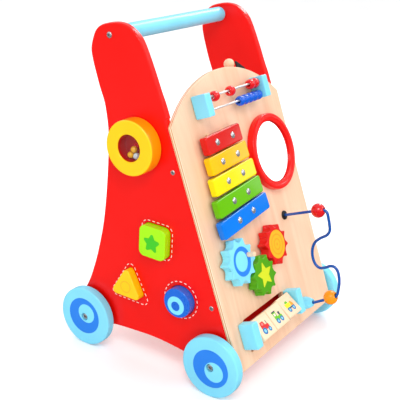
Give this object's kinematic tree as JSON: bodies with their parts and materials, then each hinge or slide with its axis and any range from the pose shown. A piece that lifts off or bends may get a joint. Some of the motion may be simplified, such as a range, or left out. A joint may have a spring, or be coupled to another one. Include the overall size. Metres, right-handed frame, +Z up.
{
  "type": "wooden activity baby walker",
  "caption": "Push-along wooden walker with an activity panel of abacus, mirror, xylophone, gears, bead maze and picture cubes, a shape sorter side, and a round handle",
  "frame": {"origin": "centre of the outer box at floor level", "axes": "+Z up, +X towards the side panel without holes, -Y the way the activity panel faces"},
  "size_m": [0.3223, 0.3522, 0.484],
  "materials": {
    "red_paint": "gloss painted plywood and beech",
    "light_blue_paint": "satin painted beech",
    "blue_paint": "gloss painted beech",
    "yellow_paint": "gloss painted beech",
    "lime_paint": "gloss painted beech",
    "green_paint": "gloss painted beech",
    "orange_paint": "gloss painted beech",
    "pink_red_paint": "gloss painted beech",
    "bright_yellow_paint": "gloss painted beech",
    "bright_blue_paint": "gloss painted beech",
    "natural_wood": "clear varnish over pale plywood",
    "steel": "zinc-plated, polished",
    "wire_coating": "smooth blue coating",
    "black_plastic": "moulded",
    "mirror_disc": "mirror-faced acrylic",
    "clear_window": "clear acrylic",
    "white_plastic": "pale ball",
    "rattle_yellow": "rattle ball"
  },
  "bodies": {
    "root": {"front_panel": "natural_wood", "upper_cross_rail": "natural_wood", "lower_cross_rail": "red_paint", "abacus_block_left": "light_blue_paint", "abacus_block_right": "light_blue_paint", "abacus_rod_upper": "steel", "abacus_rod_lower": "steel", "mirror_frame": "red_paint", "mirror_glass": "mirror_disc", "xylophone_bar_red": "pink_red_paint", "xylophone_bar_orange": "orange_paint", "xylophone_bar_yellow": "bright_yellow_paint", "xylophone_bar_green": "green_paint", "xylophone_bar_blue": "bright_blue_paint", "xylophone_rail_left": "natural_wood", "xylophone_rail_right": "natural_wood", "maze_wire": "wire_coating", "maze_grommet": "black_plastic", "maze_knob": "light_blue_paint", "cube_bracket_left": "light_blue_paint", "cube_bracket_right": "light_blue_paint", "cube_rod": "natural_wood", "mallet_clip": "black_plastic", "right_side_panel": "red_paint", "left_side_panel": "red_paint", "handle_bar": "light_blue_paint", "front_right_wheel_bolt": "steel", "front_left_wheel_bolt": "steel", "rear_right_wheel_bolt": "steel", "rear_left_wheel_bolt": "steel"},
    "front_right_wheel": {"front_right_wheel": "light_blue_paint"},
    "front_left_wheel": {"front_left_wheel": "light_blue_paint"},
    "rear_right_wheel": {"rear_right_wheel": "light_blue_paint"},
    "rear_left_wheel": {"rear_left_wheel": "light_blue_paint"},
    "blue_gear": {"blue_gear": "light_blue_paint"},
    "green_gear": {"green_gear": "green_paint"},
    "red_gear": {"red_gear": "red_paint"},
    "picture_cube_1": {"picture_cube_1": "natural_wood"},
    "picture_cube_2": {"picture_cube_2": "natural_wood"},
    "picture_cube_3": {"picture_cube_3": "natural_wood"},
    "rattle_drum": {"rattle_drum": "yellow_paint", "rattle_window": "clear_window"},
    "rattle_balls": {"rattle_ball_1": "rattle_yellow", "rattle_ball_2": "rattle_yellow", "rattle_ball_3": "white_plastic"},
    "square_block": {"square_block": "lime_paint"},
    "triangle_block": {"triangle_block": "yellow_paint"},
    "round_block": {"round_block": "blue_paint"},
    "red_bead_4": {"red_bead_4": "red_paint"},
    "red_bead_3": {"red_bead_3": "red_paint"},
    "red_bead_2": {"red_bead_2": "red_paint"},
    "red_bead_1": {"red_bead_1": "red_paint"},
    "blue_bead_5": {"blue_bead_5": "blue_paint"},
    "blue_bead_4": {"blue_bead_4": "blue_paint"},
    "blue_bead_3": {"blue_bead_3": "blue_paint"},
    "blue_bead_2": {"blue_bead_2": "blue_paint"},
    "blue_bead_1": {"blue_bead_1": "blue_paint"},
    "maze_bead_red": {"maze_bead_red": "red_paint"},
    "maze_bead_orange": {"maze_bead_orange": "orange_paint"},
    "mallet": {"mallet": "natural_wood"}
  },
  "joints": [
    {"name": "front_right_wheel_spin", "type": "hinge", "parent": "root", "child": "front_right_wheel", "pos_m": [-0.14977, -0.09149, 0.045], "axis": [1, 0, 0], "continuous": true},
    {"name": "front_left_wheel_spin", "type": "hinge", "parent": "root", "child": "front_left_wheel", "pos_m": [0.15363, -0.09149, 0.045], "axis": [1, 0, 0], "continuous": true},
    {"name": "rear_right_wheel_spin", "type": "hinge", "parent": "root", "child": "rear_right_wheel", "pos_m": [-0.14977, 0.13111, 0.045], "axis": [1, 0, 0], "continuous": true},
    {"name": "rear_left_wheel_spin", "type": "hinge", "parent": "root", "child": "rear_left_wheel", "pos_m": [0.15363, 0.13111, 0.045], "axis": [1, 0, 0], "continuous": true},
    {"name": "blue_gear_spin", "type": "hinge", "parent": "root", "child": "blue_gear", "pos_m": [-0.08967, -0.08533, 0.17751], "axis": [0, -0.9267, 0.3757], "continuous": true},
    {"name": "green_gear_spin", "type": "hinge", "parent": "root", "child": "green_gear", "pos_m": [-0.04457, -0.09874, 0.14443], "axis": [0, -0.9267, 0.3757], "continuous": true},
    {"name": "red_gear_spin", "type": "hinge", "parent": "root", "child": "red_gear", "pos_m": [0.00493, -0.08777, 0.17149], "axis": [0, -0.9267, 0.3757], "continuous": true},
    {"name": "picture_cube_1_spin", "type": "hinge", "parent": "root", "child": "picture_cube_1", "pos_m": [-0.08312, -0.12066, 0.07972], "axis": [1, 0, 0], "continuous": true},
    {"name": "picture_cube_2_spin", "type": "hinge", "parent": "root", "child": "picture_cube_2", "pos_m": [-0.04642, -0.12066, 0.07972], "axis": [1, 0, 0], "continuous": true},
    {"name": "picture_cube_3_spin", "type": "hinge", "parent": "root", "child": "picture_cube_3", "pos_m": [-0.00972, -0.12066, 0.07972], "axis": [1, 0, 0], "continuous": true},
    {"name": "rattle_drum_spin", "type": "hinge", "parent": "root", "child": "rattle_drum", "pos_m": [-0.14987, 0.05311, 0.3267], "axis": [1, 0, 0], "continuous": true},
    {"name": "rattle_balls_tumble", "type": "hinge", "parent": "root", "child": "rattle_balls", "pos_m": [-0.14987, 0.05311, 0.3267], "axis": [1, 0, 0], "continuous": true},
    {"name": "square_block_push", "type": "slide", "parent": "root", "child": "square_block", "axis": [1, 0, 0], "range_m": [-0.013, 0.024]},
    {"name": "triangle_block_push", "type": "slide", "parent": "root", "child": "triangle_block", "axis": [1, 0, 0], "range_m": [-0.013, 0.024]},
    {"name": "round_block_push", "type": "slide", "parent": "root", "child": "round_block", "axis": [1, 0, 0], "range_m": [-0.013, 0.024]},
    {"name": "red_bead_4_slide", "type": "slide", "parent": "root", "child": "red_bead_4", "axis": [1, 0, 0], "range_m": [-0.011, 0]},
    {"name": "red_bead_3_slide", "type": "slide", "parent": "red_bead_4", "child": "red_bead_3", "axis": [1, 0, 0], "range_m": [-0.011, 0]},
    {"name": "red_bead_2_slide", "type": "slide", "parent": "root", "child": "red_bead_2", "axis": [1, 0, 0], "range_m": [-0.0143, 0.021]},
    {"name": "red_bead_1_slide", "type": "slide", "parent": "root", "child": "red_bead_1", "axis": [1, 0, 0], "range_m": [-0.0183, 0.0143]},
    {"name": "blue_bead_5_slide", "type": "slide", "parent": "root", "child": "blue_bead_5", "axis": [1, 0, 0], "range_m": [-0.0155, 0]},
    {"name": "blue_bead_4_slide", "type": "slide", "parent": "blue_bead_5", "child": "blue_bead_4", "axis": [1, 0, 0], "range_m": [-0.0155, 0]},
    {"name": "blue_bead_3_slide", "type": "slide", "parent": "blue_bead_4", "child": "blue_bead_3", "axis": [1, 0, 0], "range_m": [-0.0155, 0]},
    {"name": "blue_bead_2_slide", "type": "slide", "parent": "blue_bead_3", "child": "blue_bead_2", "axis": [1, 0, 0], "range_m": [-0.0155, 0]},
    {"name": "blue_bead_1_slide", "type": "slide", "parent": "blue_bead_2", "child": "blue_bead_1", "axis": [1, 0, 0], "range_m": [-0.0155, 0]},
    {"name": "maze_bead_red_slide", "type": "slide", "parent": "root", "child": "maze_bead_red", "axis": [0, -0.9267, 0.3757], "range_m": [-0.045, 0]},
    {"name": "maze_bead_orange_slide", "type": "slide", "parent": "root", "child": "maze_bead_orange", "axis": [0.0089, -0.8532, 0.5216], "range_m": [-0.0195, 0]},
    {"name": "mallet_slide", "type": "slide", "parent": "root", "child": "mallet", "axis": [0, 0.3757, 0.9267], "range_m": [0, 0.12]}
  ],
  "couplings": [
    {"joint": "green_gear_spin", "follows": "blue_gear_spin", "ratio": -1},
    {"joint": "red_gear_spin", "follows": "blue_gear_spin", "ratio": 1}
  ]
}
